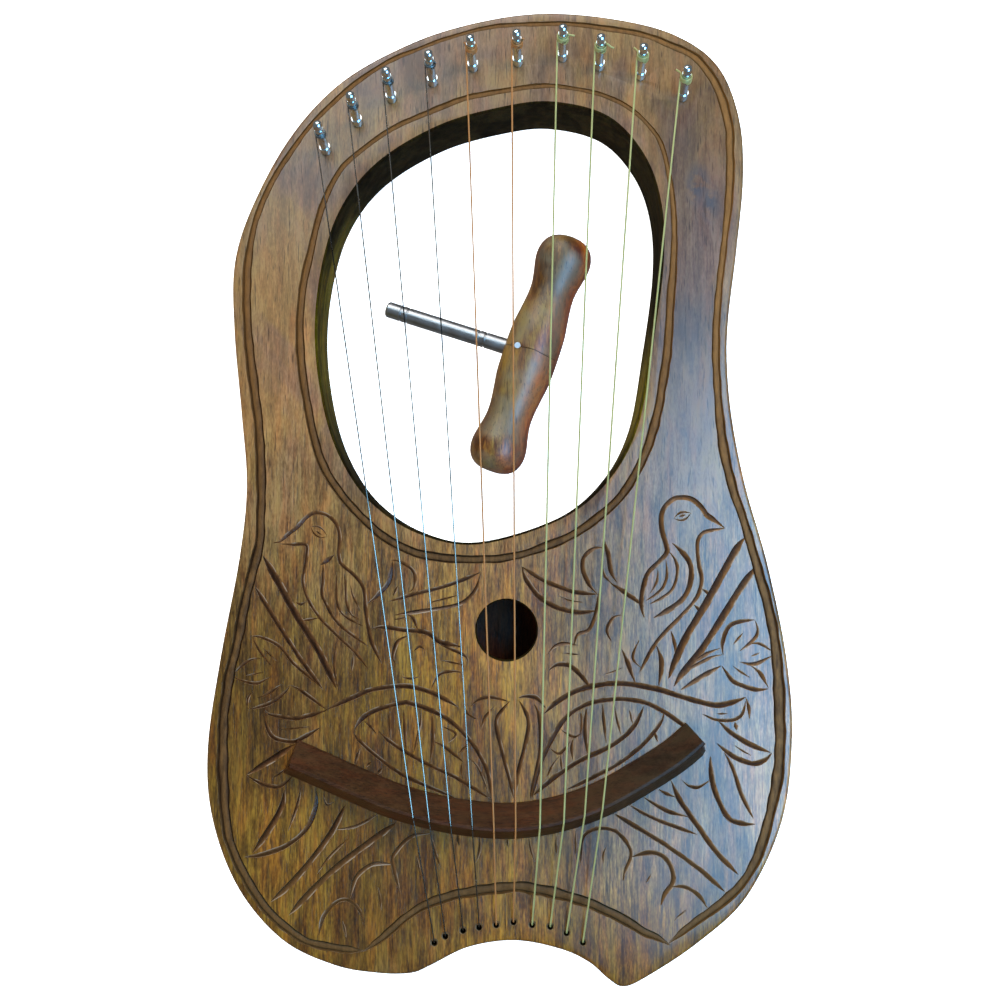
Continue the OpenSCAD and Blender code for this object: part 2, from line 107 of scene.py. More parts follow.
CARVING = [
    # border: round the back of the arms from corner to corner, and the arch over the tail
    (4.4, [(91, -245, 2.4), (104, -235, 3.8), (118, -225, 4.4), (129.5, -215, 4.6), (136.5, -205, 4.8),
        (141, -195, 5.0), (147, -175, 5.4), (151, -156, 5.6), (152.5, -140, 5.8), (152.5, -122, 5.8),
        (152, -102, 5.8), (150, -80, 5.4), (146, -60, 5.0), (140.5, -40, 4.8), (135, -20, 4.6),
        (128.5, 0, 4.8), (124, 19, 5.0), (121.5, 38, 4.6), (120, 60, 4.2), (119.5, 80, 4.0),
        (120.5, 100, 4.0), (122.5, 120, 3.4), (125.5, 144, 3.6), (128, 168, 4.4), (128.5, 190, 4.6),
        (128, 203, 4.6), (125, 217, 4.6), (119.5, 230, 4.4), (110, 242.5, 4.0), (98, 249, 3.6),
        (80, 256, 3.2), (60, 259.5, 3.0), (40, 262, 2.6), (22, 262, 2.4), (-4, 260.5, 2.2),
        (-27.5, 254.5, 2.0), (-45, 248, 2.2), (-62.5, 240.5, 2.4), (-80.5, 228.5, 2.6), (-95.5, 215, 2.6),
        (-106, 204, 2.4), (-115.5, 191, 2.8), (-127, 172.5, 3.2), (-136, 150, 3.0), (-140, 127, 4.2),
        (-140.5, 104, 4.6), (-139, 80, 4.8), (-136, 57, 5.0), (-133, 34, 5.0), (-131.5, 5, 5.0),
        (-131.5, -10, 4.8), (-132, -28, 4.8), (-134.5, -40, 5.0), (-139.5, -60, 5.2), (-143, -80, 5.2),
        (-147.5, -100, 5.2), (-149, -110, 5.2), (-150.5, -120, 5.4), (-151, -140, 5.6), (-150.5, -160, 5.6),
        (-148, -185, 5.2), (-142.5, -201, 4.8), (-135.5, -214, 4.6), (-129.5, -223, 4.6),
        (-123.5, -230, 4.4), (-116, -236.5, 4.4), (-109, -241.5, 4.2), (-101.5, -245, 4.2),
        (-85, -248, 3.8), (-73, -249, 2.6)]),
    (4.2, [(-74, -249.5, 2.4), (-63, -241.5, 3.6), (-52, -232, 4.2), (-40, -224.5, 4.6), (-27, -220, 5.0),
        (-15, -217.5, 5.2), (-3, -216, 5.4), (8, -215, 5.6), (18, -216, 5.6), (34, -219.5, 5.6),
        (50, -224.5, 5.4), (65, -231.5, 4.8), (77, -238.5, 4.2), (85, -242, 3.6), (92, -246, 2.4)]),
    # left bird: head and back, beak and belly, eye, wing, feathers, legs
    (2.0, [(-124.5, -29), (-120.5, -28), (-116, -24), (-111, -20), (-107, -15.5), (-103.5, -13),
        (-100, -12.3), (-95.5, -13.5), (-91.5, -16.5), (-89, -20.5), (-88, -26), (-88.5, -33), (-88, -38),
        (-86, -41.5), (-78.5, -48), (-74.5, -55), (-73.5, -66), (-71.5, -78), (-69.5, -85), (-64.5, -95)]),
    (1.7, [(-121, -29.5), (-114, -29.8), (-106.5, -30), (-106, -36), (-107, -43), (-108, -50),
        (-105.5, -59), (-98.5, -70), (-88, -80.5), (-78.5, -89.5), (-72, -98)]),
    (1.0, [(-104, -20), (-100, -20), (-97, -22), (-95, -25)]),
    (1.0, [(-104, -20), (-102, -24), (-98.5, -26), (-95, -25.5)]),
    (1.3, [(-101, -22.5), (-98, -24.5)]),
    (2.4, [(-98.5, -41), (-95, -38.8), (-91, -35.5)]),
    (1.8, [(-97, -40.5), (-97, -50), (-97.5, -55.5), (-96, -61), (-88, -73.5), (-72, -85.5)]),
    (1.3, [(-89.5, -45), (-89.5, -59), (-87.5, -66), (-83.5, -70), (-75, -74.5)]),
    (1.3, [(-85.5, -46), (-84.5, -54), (-84, -62), (-81.5, -68), (-77, -71)]),
    (1.2, [(-82, -52), (-80.5, -58), (-76, -67)]),
    (1.5, [(-112, -61.5), (-109, -62.5), (-106, -61)]),
    (1.5, [(-110, -71.5), (-105, -71), (-99, -70)]),
    # left stems and trunk
    (3.4, [(-130, -36), (-123, -48), (-113.5, -65), (-104, -80), (-98.5, -89), (-93.5, -99),
        (-89.5, -108)]),
    (2.6, [(-134.5, -52.5), (-125.5, -67), (-116.5, -81), (-108.5, -93), (-99.5, -105), (-96.5, -109)]),
    (1.4, [(-89.5, -83), (-90.5, -96.5), (-88.5, -108)]),
    (1.4, [(-80, -88.5), (-80.5, -95), (-81.5, -101)]),
    # left leaves
    (1.8, [(-136, -80), (-130.5, -80.5), (-120.5, -85.5), (-113, -94.5), (-103, -103), (-98.5, -107)]),
    (1.4, [(-135.5, -80.5), (-131, -88.5), (-124.5, -96.5)]),
    (1.0, [(-130, -86), (-122, -93.5)]),
    (1.8, [(-145.5, -100.5), (-140, -95), (-135.5, -92.5), (-131, -92)]),
    (1.8, [(-145.5, -101.5), (-142.5, -103.5), (-133, -105.5), (-125.5, -102)]),
    (1.0, [(-139.5, -101.5), (-129, -99.5)]),
    (1.8, [(-132.5, -113.5), (-127.5, -111.5), (-119, -106)]),
    (2.0, [(-137, -119), (-134, -119), (-124, -115.5), (-116.5, -109.5), (-115, -106.5)]),
    (1.5, [(-135, -110), (-137.5, -114), (-137.5, -118.5)]),
    (2.0, [(-114.5, -106.5), (-108.5, -109.5), (-95, -119.5)]),
    (2.2, [(-128, -120), (-125, -122.5), (-113, -124.5), (-106, -123.5), (-94, -120)]),
    (2.2, [(-128, -122.5), (-127.5, -128), (-123, -135), (-113.5, -137), (-107.5, -135), (-98, -129.5)]),
    (1.2, [(-120, -130.5), (-111, -129.8), (-103, -129)]),
    (3.0, [(-111.5, -138.5), (-123, -146), (-137.5, -155)]),
    (2.2, [(-137.5, -155.5), (-130, -159.5), (-125, -161), (-119.5, -161), (-112, -155)]),
    (1.3, [(-124, -157), (-116, -151.5)]),
    # middle left: branches, bud, crescent, curl
    (2.4, [(-72.5, -62), (-68, -58.5), (-61, -50.5), (-59, -39)]),
    (1.8, [(-60, -38.5), (-55.5, -39), (-47.5, -44.5), (-47, -53), (-50, -56)]),
    (1.5, [(-56, -52.5), (-58.5, -58)]),
    (1.9, [(-61, -61), (-47, -57), (-28, -52), (-10.5, -45)]),
    (1.9, [(-10.5, -45.5), (-14, -55.5), (-22.5, -62.5), (-38, -65.5), (-58, -68.5)]),
    (1.2, [(-40, -62), (-22.5, -57.5)]),
    (1.8, [(-51.5, -68), (-47.5, -70), (-45, -77)]),
    (1.2, [(-58, -71), (-51, -69.5)]),
    (2.4, [(-70.5, -76), (-64.5, -75), (-52.5, -76.5), (-40, -78), (-33, -83), (-24, -85), (-20.5, -86.5)]),
    (2.0, [(-50, -79.5), (-56, -83), (-58.5, -91), (-57, -95)]),
    (1.5, [(-47, -88), (-44, -85.5), (-41, -87.5)]),
    (1.7, [(-33, -84.5), (-22, -89), (-18, -92), (-17.5, -96)]),
    (1.2, [(-32, -93), (-20.5, -95.5)]),
    (1.7, [(-37.5, -108.5), (-33.5, -101), (-25.5, -99), (-20.5, -100)]),
    (1.3, [(-54, -102), (-49, -103), (-44, -102)]),
    # left fan
    (2.4, [(-95, -120), (-80, -113), (-70, -109), (-52, -107), (-37.5, -110.5), (-22.5, -118.5)]),
    (2.4, [(-79.5, -131), (-76, -125.5), (-69, -120.5), (-55, -116.5), (-48, -116.5), (-30, -124),
        (-16, -137), (-7, -153), (-4.5, -168)]),
    (2.0, [(-79.5, -131), (-78, -135), (-69.5, -143), (-55.5, -153.5), (-44.5, -159), (-24, -167.5)]),
    (2.0, [(-66, -131.5), (-60, -137), (-50, -143.5), (-38, -150), (-24, -156.5), (-5, -168)]),
    (1.4, [(-74, -126), (-70, -129.5), (-67.5, -133)]),
    (1.4, [(-61, -121), (-60, -129), (-59.5, -137)]),
    (1.9, [(-52.5, -120), (-52, -129), (-51, -142)]),
    (1.4, [(-43, -120), (-43.5, -128), (-47, -143)]),
    (1.9, [(-37, -123), (-36.5, -136), (-38, -148)]),
    (1.4, [(-31, -129), (-24, -133), (-28.5, -138)]),
    (1.9, [(-36, -137), (-30, -140), (-20, -148)]),
    (1.6, [(-17.5, -139), (-22, -143)]),
    (1.2, [(-21, -149), (-21, -156)]),
    (1.2, [(-17, -146), (-12, -151), (-6, -165)]),
    (1.9, [(-76, -140.5), (-78, -146), (-79, -150)]),
    (1.5, [(-70, -148), (-73, -151)]),
    (1.8, [(-64, -151.5), (-67, -155)]),
    # left leaves below the bridge
    (3.0, [(-117, -163), (-118.5, -172), (-125, -184), (-134, -197)]),
    (2.4, [(-138.5, -199), (-130, -198), (-116, -193), (-105, -184), (-100, -172), (-100, -163)]),
    (1.4, [(-108, -161), (-110, -171), (-115, -185.5)]),
    (3.0, [(-84, -171), (-91, -185), (-101, -199), (-113, -213), (-124, -223)]),
    (3.0, [(-56, -180.5), (-72, -192), (-88, -204), (-100, -215), (-114, -230)]),
    (1.6, [(-66, -176), (-78, -182.5), (-89, -184.5)]),
    (1.3, [(-82, -189), (-92, -198.5), (-99, -208)]),
    (1.2, [(-96, -166), (-94, -171), (-90, -169.5)]),
    # left scallops
    (2.0, [(-38, -186.5), (-48, -188), (-57, -197), (-58, -203), (-54, -218)]),
    (1.4, [(-45, -199), (-43, -209)]),
    (1.6, [(-38, -186), (-35.5, -195), (-32, -205)]),
    (2.2, [(-58, -203), (-69, -203), (-78, -210), (-81, -221)]),
    (1.5, [(-66, -215), (-65, -221), (-64, -227.5)]),
    (2.0, [(-98, -241), (-95.5, -231), (-89, -223.5), (-82, -222), (-76, -227.5), (-73.5, -235)]),
    (1.5, [(-85, -233), (-83, -242)]),
    # under the middle of the bridge
    (1.8, [(-23, -187), (-22, -193)]),
    (1.8, [(-11, -188), (-11, -195), (-13, -202)]),
    (1.2, [(4, -189), (4.5, -194)]),
    (1.4, [(15.5, -188), (17, -196), (19, -202)]),
    (1.3, [(30.5, -187), (30.5, -198)]),
    (1.3, [(41, -185), (41, -198)]),
    # middle: tulip and its leaves
    (2.0, [(5.5, -115), (-1, -123), (-2, -129), (1, -142), (5, -157), (8, -169)]),
    (2.2, [(10.5, -115), (15.5, -126), (13.5, -140), (9.5, -155), (8, -169)]),
    (1.8, [(-16, -118), (-12, -114.5), (-5, -113), (5, -115.5)]),
    (2.4, [(10, -113.5), (14, -112.5), (20, -113.5), (25, -119)]),
    (1.6, [(-3, -118), (-8, -124), (-10.5, -131)]),
    (2.0, [(18.5, -116.5), (21.5, -124), (22, -140), (20.5, -150), (17, -165), (16.5, -169)]),
    (1.4, [(-20, -118), (-17, -122.5), (-12.5, -125)]),
    # right bird
    (2.5, [(123.5, -21), (117, -16), (113.5, -13.5), (110.5, -9), (105.5, -5), (100, -4), (95, -5),
        (90.5, -9.5), (88.5, -15), (89, -22), (91.5, -31), (91, -35), (87, -39.5), (81.5, -45), (78.5, -53),
        (77.5, -63), (79, -70)]),
    (2.1, [(123.5, -21), (114, -22.5), (110, -25), (108.3, -30), (109, -40), (110.5, -50), (107, -60),
        (98, -70), (90, -78), (83, -87), (76, -100)]),
    (1.2, [(95.5, -15.5), (98, -13), (101, -12), (105, -12.5)]),
    (1.2, [(95.5, -15.5), (99, -16.5), (102.5, -15.5), (105, -12.5)]),
    (1.3, [(98.5, -14.5), (102, -13.5)]),
    (2.6, [(94.5, -29), (100, -34), (104, -40), (105, -47), (102, -57), (95, -64), (84, -70)]),
    (1.7, [(92.5, -33.5), (96.5, -39), (97, -47), (93, -56), (82, -62.5)]),
    (1.6, [(91, -38), (91.5, -47), (88, -55), (80, -60.5)]),
    (1.4, [(86.5, -43), (86, -50), (82, -57)]),
    (1.8, [(110.5, -54), (114, -56.5), (113.5, -59)]),
    (2.0, [(106.5, -63), (110.5, -66.5)]),
    # right stems and trunk
    (3.6, [(134.5, -26), (130, -32), (122, -46), (113, -62), (102, -80), (95, -95), (92, -103)]),
    (3.4, [(140.5, -42), (131, -55), (121, -71), (109, -89), (99, -101), (95, -107)]),
    (1.8, [(93.5, -77), (95.5, -84), (96, -90)]),
    (2.6, [(85.5, -85), (88, -92), (88, -99), (86.5, -107)]),
    # right flower
    (2.2, [(122, -90.5), (121.5, -84), (125, -75), (131, -72), (139.5, -71)]),
    (1.9, [(139.5, -71), (141, -77), (138.5, -82), (131, -88)]),
    (1.2, [(133, -78), (130, -81.5), (127.5, -84.5)]),
    (1.7, [(137, -84), (142, -84), (148.5, -88)]),
    (2.0, [(149, -90.5), (139, -95), (131, -94)]),
    (1.0, [(142, -89), (137, -91)]),
    (2.0, [(120.5, -86.5), (113, -89.5), (104, -95.5)]),
    (1.8, [(121.5, -90), (114, -92), (101, -99)]),
    (2.0, [(137, -96), (142, -100), (146.5, -108)]),
    (2.4, [(121, -96), (127, -104), (133, -107), (140, -109), (146.5, -108.5)]),
    (1.2, [(127, -96), (131, -99), (136.5, -102.5)]),
    (2.3, [(121, -96), (110, -102), (98, -109.5)]),
    # right fan and leaves
    (2.8, [(24, -122), (32, -115), (46, -108), (65, -105.5), (85, -108.5), (105, -114.5), (118, -117.3),
        (128, -115.5), (134, -113)]),
    (1.9, [(134, -113), (135.5, -118), (136, -125)]),
    (1.7, [(110, -122), (118, -125.3), (127, -125.3), (132, -122), (134, -115)]),
    (1.0, [(118, -122), (124, -122)]),
    (2.5, [(119, -126), (127, -133), (137, -139), (147.5, -143)]),
    (2.6, [(118, -138), (127, -145), (137, -148.8), (144, -147), (148, -143)]),
    (1.1, [(127.5, -139), (132, -142), (136.5, -144.5)]),
    (2.0, [(128, -126.5), (129, -131)]),
    (2.6, [(114.5, -145), (115, -156), (118, -167), (124, -178), (131, -181), (138.5, -181.5)]),
    (2.2, [(122, -143), (126.5, -151), (131, -165), (137.5, -178.5)]),
    (1.9, [(99, -158), (103, -161), (108, -161.5), (114, -158)]),
    (2.6, [(93, -158), (98, -169), (107, -182), (117, -196), (129, -208.5)]),
    (1.6, [(86, -162.5), (90, -165), (95.5, -167)]),
    (2.0, [(78, -167), (90, -174), (102, -177.5)]),
    (2.0, [(70, -171), (84, -178.5), (107, -187)]),
    (2.4, [(62, -176), (76, -184), (92, -194), (108, -205.5), (121.5, -217.5)]),
    (2.3, [(17, -168), (21, -152), (28, -136), (37, -123), (50, -116), (66, -114), (82, -117), (97, -126),
        (105, -133)]),
    (2.4, [(18, -166), (30, -156), (44, -147), (60, -139.5), (72, -130), (78.5, -118)]),
    (2.1, [(36, -163), (50, -156.5), (65, -148.5), (79, -137.5), (88, -126), (89, -121)]),
    (1.6, [(44, -121), (44.5, -127), (44, -133)]),
    (2.4, [(47, -119), (46.5, -130), (47.5, -144)]),
    (1.6, [(56, -117), (56.5, -126), (58, -138.5)]),
    (1.4, [(62.5, -118), (64, -126), (66, -134)]),
    (1.3, [(70.5, -120), (72.5, -128)]),
    (1.6, [(33, -130.5), (40, -134.5), (44, -132.5)]),
    (1.6, [(40, -135), (39, -140), (39.5, -147)]),
    (1.6, [(27, -140.5), (32.5, -143.5), (38.5, -136.5)]),
    (1.7, [(33, -144), (34, -154)]),
    (1.3, [(32, -145), (28, -151), (25, -157)]),
    (1.8, [(84, -131.5), (86, -137.5)]),
    # middle right: bud, crescent, curl, branch
    (2.6, [(57, -26.5), (59.5, -36), (61, -45), (64, -50.5)]),
    (2.2, [(57, -31.5), (51, -32.3), (46, -37), (45.5, -44), (49, -52), (53.5, -57)]),
    (1.6, [(56.5, -42), (57.5, -47), (61.5, -51.5)]),
    (2.4, [(12, -42), (24, -49.5), (40, -55.5), (54, -57)]),
    (2.6, [(12, -42), (15, -50), (24, -60.5), (39, -66.5), (53, -66)]),
    (1.2, [(32, -58), (39, -60.5), (45, -61.5)]),
    (2.0, [(54, -56), (53, -65), (49, -76), (42.5, -79), (40.5, -85)]),
    (1.8, [(43, -85), (36, -84), (30, -85.5), (26, -90)]),
    (1.2, [(34, -89), (44, -90)]),
    (2.4, [(26, -99), (31, -95.5), (38, -96), (44, -101), (50, -109)]),
    (2.4, [(60.5, -51), (72, -58.5), (79, -64)]),
    (1.8, [(67.5, -68.5), (62, -70), (58.5, -77), (61, -83)]),
    (2.2, [(66.5, -87), (70, -95), (74, -106)]),
    (1.4, [(76, -82), (73, -89), (73, -93), (77.5, -97.5)]),
    (1.0, [(67, -97), (61, -99.5), (55, -101.5)]),
    # right scallops
    (2.0, [(43.5, -203), (44, -191), (48, -185.5), (56, -183.5), (64, -186), (70, -193.5), (71, -199),
        (68, -206), (66.5, -212)]),
    (1.3, [(58, -193), (56, -198), (56, -202.5)]),
    (2.5, [(71, -199), (81, -196.5), (89, -199), (93.3, -206), (93.5, -213), (89, -219), (87, -225)]),
    (1.1, [(82, -208), (79, -213)]),
    (2.1, [(92, -215), (100, -215), (107.5, -219.5), (112.5, -227)]),
    (1.1, [(101, -227), (94, -233)]),
    # two dry cracks at the tail
    (0.5, [(3, -217.5), (3, -235), (4, -243)]),
    (0.5, [(8, -236), (8, -243)]),
]


# ---------------------------------------------------------------- curves and meshes
def between(a, b, c, d, t):
    """Point between b and c on the smooth curve through a, b, c and d."""
    return tuple(
        0.5 * (2 * q + (r - p) * t + (2 * p - 5 * q + 4 * r - s) * t * t
               + (3 * q - p - 3 * r + s) * t ** 3)
        for p, q, r, s in zip(a, b, c, d)
    )


def smooth_closed(points, steps):
    n = len(points)
    return [between(points[i - 1], points[i], points[(i + 1) % n], points[(i + 2) % n], k / steps)
            for i in range(n) for k in range(steps)]


def smooth_open(points, steps):
    held = [points[0], *points, points[-1]]
    curve = [between(*held[i:i + 4], k / steps) for i in range(len(points) - 1) for k in range(steps)]
    return curve + [points[-1]]


def grown(curve, distance):
    """A closed clockwise curve, moved outwards by a distance."""
    n = len(curve)
    moved = []
    for i, (x, y) in enumerate(curve):
        along_x = curve[(i + 1) % n][0] - curve[i - 1][0]
        along_y = curve[(i + 1) % n][1] - curve[i - 1][1]
        length = math.hypot(along_x, along_y)
        moved.append((x - distance * along_y / length, y + distance * along_x / length))
    return moved


def mesh_object(name, verts, faces, material):
    mesh = bpy.data.meshes.new(name)
    mesh.from_pydata([(x / 1000, y / 1000, z / 1000) for x, y, z in verts], [], faces)
    mesh.update()
    mesh.materials.append(material)
    obj = bpy.data.objects.new(name, mesh)
    bpy.context.scene.collection.objects.link(obj)
    return obj


def loft(name, rings, material):
    """Solid through rings of equally many points, bottom ring first, clockwise seen from above."""
    n = len(rings[0])
    verts = [v for ring in rings for v in ring]
    faces = [(k * n + (i + 1) % n, k * n + i, (k + 1) * n + i, (k + 1) * n + (i + 1) % n)
             for k in range(len(rings) - 1) for i in range(n)]
    faces += [tuple(range(n)), tuple(range(len(verts) - 1, len(verts) - 1 - n, -1))]
    return mesh_object(name, verts, faces, material)


def sweep(name, rings, material, closed=False):
    """Solid through rings of equally many points that follow each other along a path."""
    n, m = len(rings), len(rings[0])
    spans = n if closed else n - 1
    verts = [v for ring in rings for v in ring]
    faces = [(i * m + k, i * m + (k + 1) % m, (i + 1) % n * m + (k + 1) % m, (i + 1) % n * m + k)
             for i in range(spans) for k in range(m)]
    if not closed:
        faces += [tuple(range(m - 1, -1, -1)), tuple(range((n - 1) * m, n * m))]
    return mesh_object(name, verts, faces, material)


def prism(levels, material, name="cutter"):
    """Solid through (height, outline) pairs."""
    return loft(name, [[(x, y, z) for x, y in outline] for z, outline in levels], material)


def circle(x, y, r, n):
    turns = [math.tau * i / n for i in range(n)]
    return [(x + r * math.sin(a), y + r * math.cos(a)) for a in turns]


def bore(x, y, levels, n, material):
    """Round cutter with n sides, through (height, radius) pairs."""
    return prism([(z, circle(x, y, r, n)) for z, r in levels], material)


def revolved(profile, place, n, material, name="cutter"):
    """Solid of revolution about Z, through (height, radius) pairs, put in its place by a matrix."""
    rings = [[tuple(place @ Vector((x, y, z))) for x, y in circle(0, 0, r, n)] for z, r in profile]
    return loft(name, rings, material)


def tube(name, path, radius, sides, material):
    """Round wire along a path of vectors."""
    last = len(path) - 1
    tangents = [(path[min(i + 1, last)] - path[max(i - 1, 0)]).normalized() for i in range(last + 1)]
    side = Vector((1, 0, 0)) if abs(tangents[0].x) < 0.9 else Vector((0, 1, 0))
    turns = [math.tau * k / sides for k in range(sides)]
    rings = []
    for point, tangent in zip(path, tangents):
        side = (side - tangent * side.dot(tangent)).normalized()
        up = tangent.cross(side)
        rings.append([tuple(point + radius * (math.cos(a) * side + math.sin(a) * up)) for a in turns])
    return sweep(name, rings, material)


# Sections across a stroke, in half widths and depths: a V cut with one steep wall, and a flat channel
# whose sides were first run in with a V tool
NARROW = [(-1.0, 0.0), (-0.84, 0.6), (-0.58, 1.0), (-0.25, 0.86), (0.15, 0.58), (0.6, 0.27), (1.0, 0.0)]
WIDE = [(-1.0, 0.0), (-0.92, 0.6), (-0.78, 1.0), (-0.56, 0.66), (-0.2, 0.5), (0.2, 0.5), (0.56, 0.64),
        (0.78, 1.0), (0.92, 0.6), (1.0, 0.0)]
WIDE_FROM = 3.9           # strokes at least this wide are channels
SPREAD = 1.12             # a groove's width, over its stroke's
DEPTH_START = 0.25
DEPTH_SHARE = 0.34        # depth gained for each mm of width
DEEPEST = 1.9             # before the tool's wander
RUN_OUT = 8.0             # length over which a stroke thins out at its ends
THIN_END = 0.08
ABOVE = 0.6               # how far a cutter stands out of the front


def tool_wander(x, y):
    """How a hand-held tool strays at a place: factors on a groove's size and on its two half widths."""
    size = 1 + 0.05 * math.sin(0.19 * x + 0.13 * y) + 0.03 * math.sin(0.53 * y - 0.37 * x + 2)
    left = 1 + 0.07 * math.sin(0.41 * x - 0.29 * y + 1)
    right = 1 + 0.07 * math.sin(0.39 * y + 0.47 * x + 4)
    return size, left, right


def gouge(width, points, closed):
    """Solid that a gouge cuts away along a stroke; a point's third number is the width there."""
    points = [(*point, width)[:3] for point in points]
    path = smooth_closed(points, 4) if closed else smooth_open(points, 6)
    section, material = (WIDE, channel) if width >= WIDE_FROM else (NARROW, groove)
    n = len(path)
    length = [0.0]
    for here, before in zip(path[1:], path):
        length.append(length[-1] + math.dist(here[:2], before[:2]))
    run_out = min(RUN_OUT, length[-1] * 0.45)
    rings = []
    for i, (x, y, across) in enumerate(path):
        before = path[i - 1 if closed else max(i - 1, 0)]
        after = path[(i + 1) % n if closed else min(i + 1, n - 1)]
        along_x, along_y = after[0] - before[0], after[1] - before[1]
        size = math.hypot(along_x, along_y) or 1.0
        side_x, side_y = -along_y / size, along_x / size
        wander, left, right = tool_wander(x, y)
        reach = min(length[i], length[-1] - length[i]) / run_out
        grow = 1.0 if closed or reach >= 1 else THIN_END + (1 - THIN_END) * reach ** 0.8
        half = SPREAD * across / 2 * wander * grow
        deep = min(DEEPEST, DEPTH_START + DEPTH_SHARE * across) * (0.3 + 0.7 * grow) * wander
        edges = [(u * (left if u < 0 else right), BODY_T - deep * v) for u, v in section]
        edges += [(right, BODY_T + ABOVE), (-left, BODY_T + ABOVE)]
        rings.append([(x + side_x * half * u, y + side_y * half * u, z) for u, z in edges])
    return sweep("cutter", rings, material, closed)


def outward(obj):
    """Turns every face of a closed mesh outwards."""
    bm = bmesh.new()
    bm.from_mesh(obj.data)
    bmesh.ops.recalc_face_normals(bm, faces=bm.faces)
    bm.to_mesh(obj.data)
    bm.free()


def cut(obj, cutters):
    """Cuts solids away from obj, each leaving its own material on the faces it makes."""
    outward(obj)
    holder = bpy.data.collections.new("cutters")
    bpy.context.scene.collection.children.link(holder)
    for cutter in cutters:
        outward(cutter)
        bpy.context.scene.collection.objects.unlink(cutter)
        holder.objects.link(cutter)
    mod = obj.modifiers.new("cut", "BOOLEAN")
    mod.operation = "DIFFERENCE"
    mod.operand_type = "COLLECTION"
    mod.collection = holder
    mod.solver = "MANIFOLD"
    mod.material_mode = "TRANSFER"
    bpy.context.view_layer.update()
    dg = bpy.context.evaluated_depsgraph_get()
    uncut = obj.data
    obj.data = bpy.data.meshes.new_from_object(
        obj.evaluated_get(dg), preserve_all_data_layers=True, depsgraph=dg)
    obj.modifiers.clear()
    bpy.data.meshes.remove(uncut)
    for cutter in cutters:
        bpy.data.objects.remove(cutter)
    bpy.data.collections.remove(holder)


def shade(obj, degrees):
    """Smooth shading, with sharp edges where faces meet at more than an angle."""
    obj.data.shade_smooth()
    obj.data.set_sharp_from_angle(angle=math.radians(degrees))


# ---------------------------------------------------------------- materials
class Nodes:
    """A Principled material with short ways to add nodes; places are the object's own, in metres."""

    def __init__(self, name):
        self.mat = bpy.data.materials.new(name)
        self.mat.use_nodes = True
        self.tree = self.mat.node_tree
        self.bsdf = self.tree.nodes["Principled BSDF"]
        self.coords = self.tree.nodes.new("ShaderNodeTexCoord").outputs["Object"]

    def feed(self, socket, value):
        """Links a socket to an output, or sets it to a number, a vector or an opaque colour."""
        if isinstance(value, bpy.types.NodeSocket):
            self.tree.links.new(value, socket)
        else:
            socket.default_value = (*value, 1) if socket.type == "RGBA" else value

    def add(self, kind, inputs, **settings):
        node = self.tree.nodes.new(kind)
        for key, value in settings.items():
            setattr(node, key, value)
        for key, value in inputs.items():
            self.feed(node.inputs[key], value)
        return node

    def stretched(self, scale):
        return self.add("ShaderNodeMapping", {"Vector": self.coords, "Scale": scale}).outputs[0]

    def noise(self, vector, scale, detail, rough=0.55, distortion=0.0):
        inputs = {"Vector": vector, "Scale": scale, "Detail": detail, "Roughness": rough,
                  "Distortion": distortion}
        return self.add("ShaderNodeTexNoise", inputs).outputs["Fac"]

    def math(self, operation, *values):
        return self.add("ShaderNodeMath", dict(enumerate(values)), operation=operation).outputs[0]

    def times(self, first, *others):
        for value in others:
            first = self.math("MULTIPLY", first, value)
        return first

    def remap(self, value, low, high, to_low=0.0, to_high=1.0):
        inputs = {"Value": value, "From Min": low, "From Max": high, "To Min": to_low, "To Max": to_high}
        return self.add("ShaderNodeMapRange", inputs).outputs["Result"]

    def ramp(self, value, stops):
        node = self.add("ShaderNodeValToRGB", {"Fac": value})
        band = node.color_ramp
        while len(band.elements) > 1:
            band.elements.remove(band.elements[-1])
        band.elements[0].position = stops[0][0]
        band.elements[0].color = (*stops[0][1], 1)
        for at, colour in stops[1:]:
            band.elements.new(at).color = (*colour, 1)
        return node.outputs["Color"]

    def mix(self, factor, a, b, blend="MIX"):
        inputs = {0: factor, 6: a, 7: b}
        return self.add("ShaderNodeMix", inputs, data_type="RGBA", blend_type=blend).outputs[2]

    def tinted(self, factor, colour, tint):
        """A colour multiplied by a tint, as far as the factor says."""
        return self.mix(factor, colour, tint, "MULTIPLY")

    def axis(self, name):
        return self.add("ShaderNodeSeparateXYZ", {0: self.coords}).outputs[name]

    def along(self, direction):
        """Distance of a place along a direction."""
        inputs = {0: self.coords, 1: direction}
        return self.add("ShaderNodeVectorMath", inputs, operation="DOT_PRODUCT").outputs["Value"]

    def bump(self, height, distance, strength, **onto):
        inputs = {"Height": height, "Distance": distance, "Strength": strength, **onto}
        return self.add("ShaderNodeBump", inputs).outputs["Normal"]

    def done(self, colour, rough, **others):
        """The finished material; in the names of its shader's other inputs, _ stands for a space."""
        inputs = {"Base Color": colour, "Roughness": rough, **others}
        for key, value in inputs.items():
            self.feed(self.bsdf.inputs[key.replace("_", " ")], value)
        return self.mat


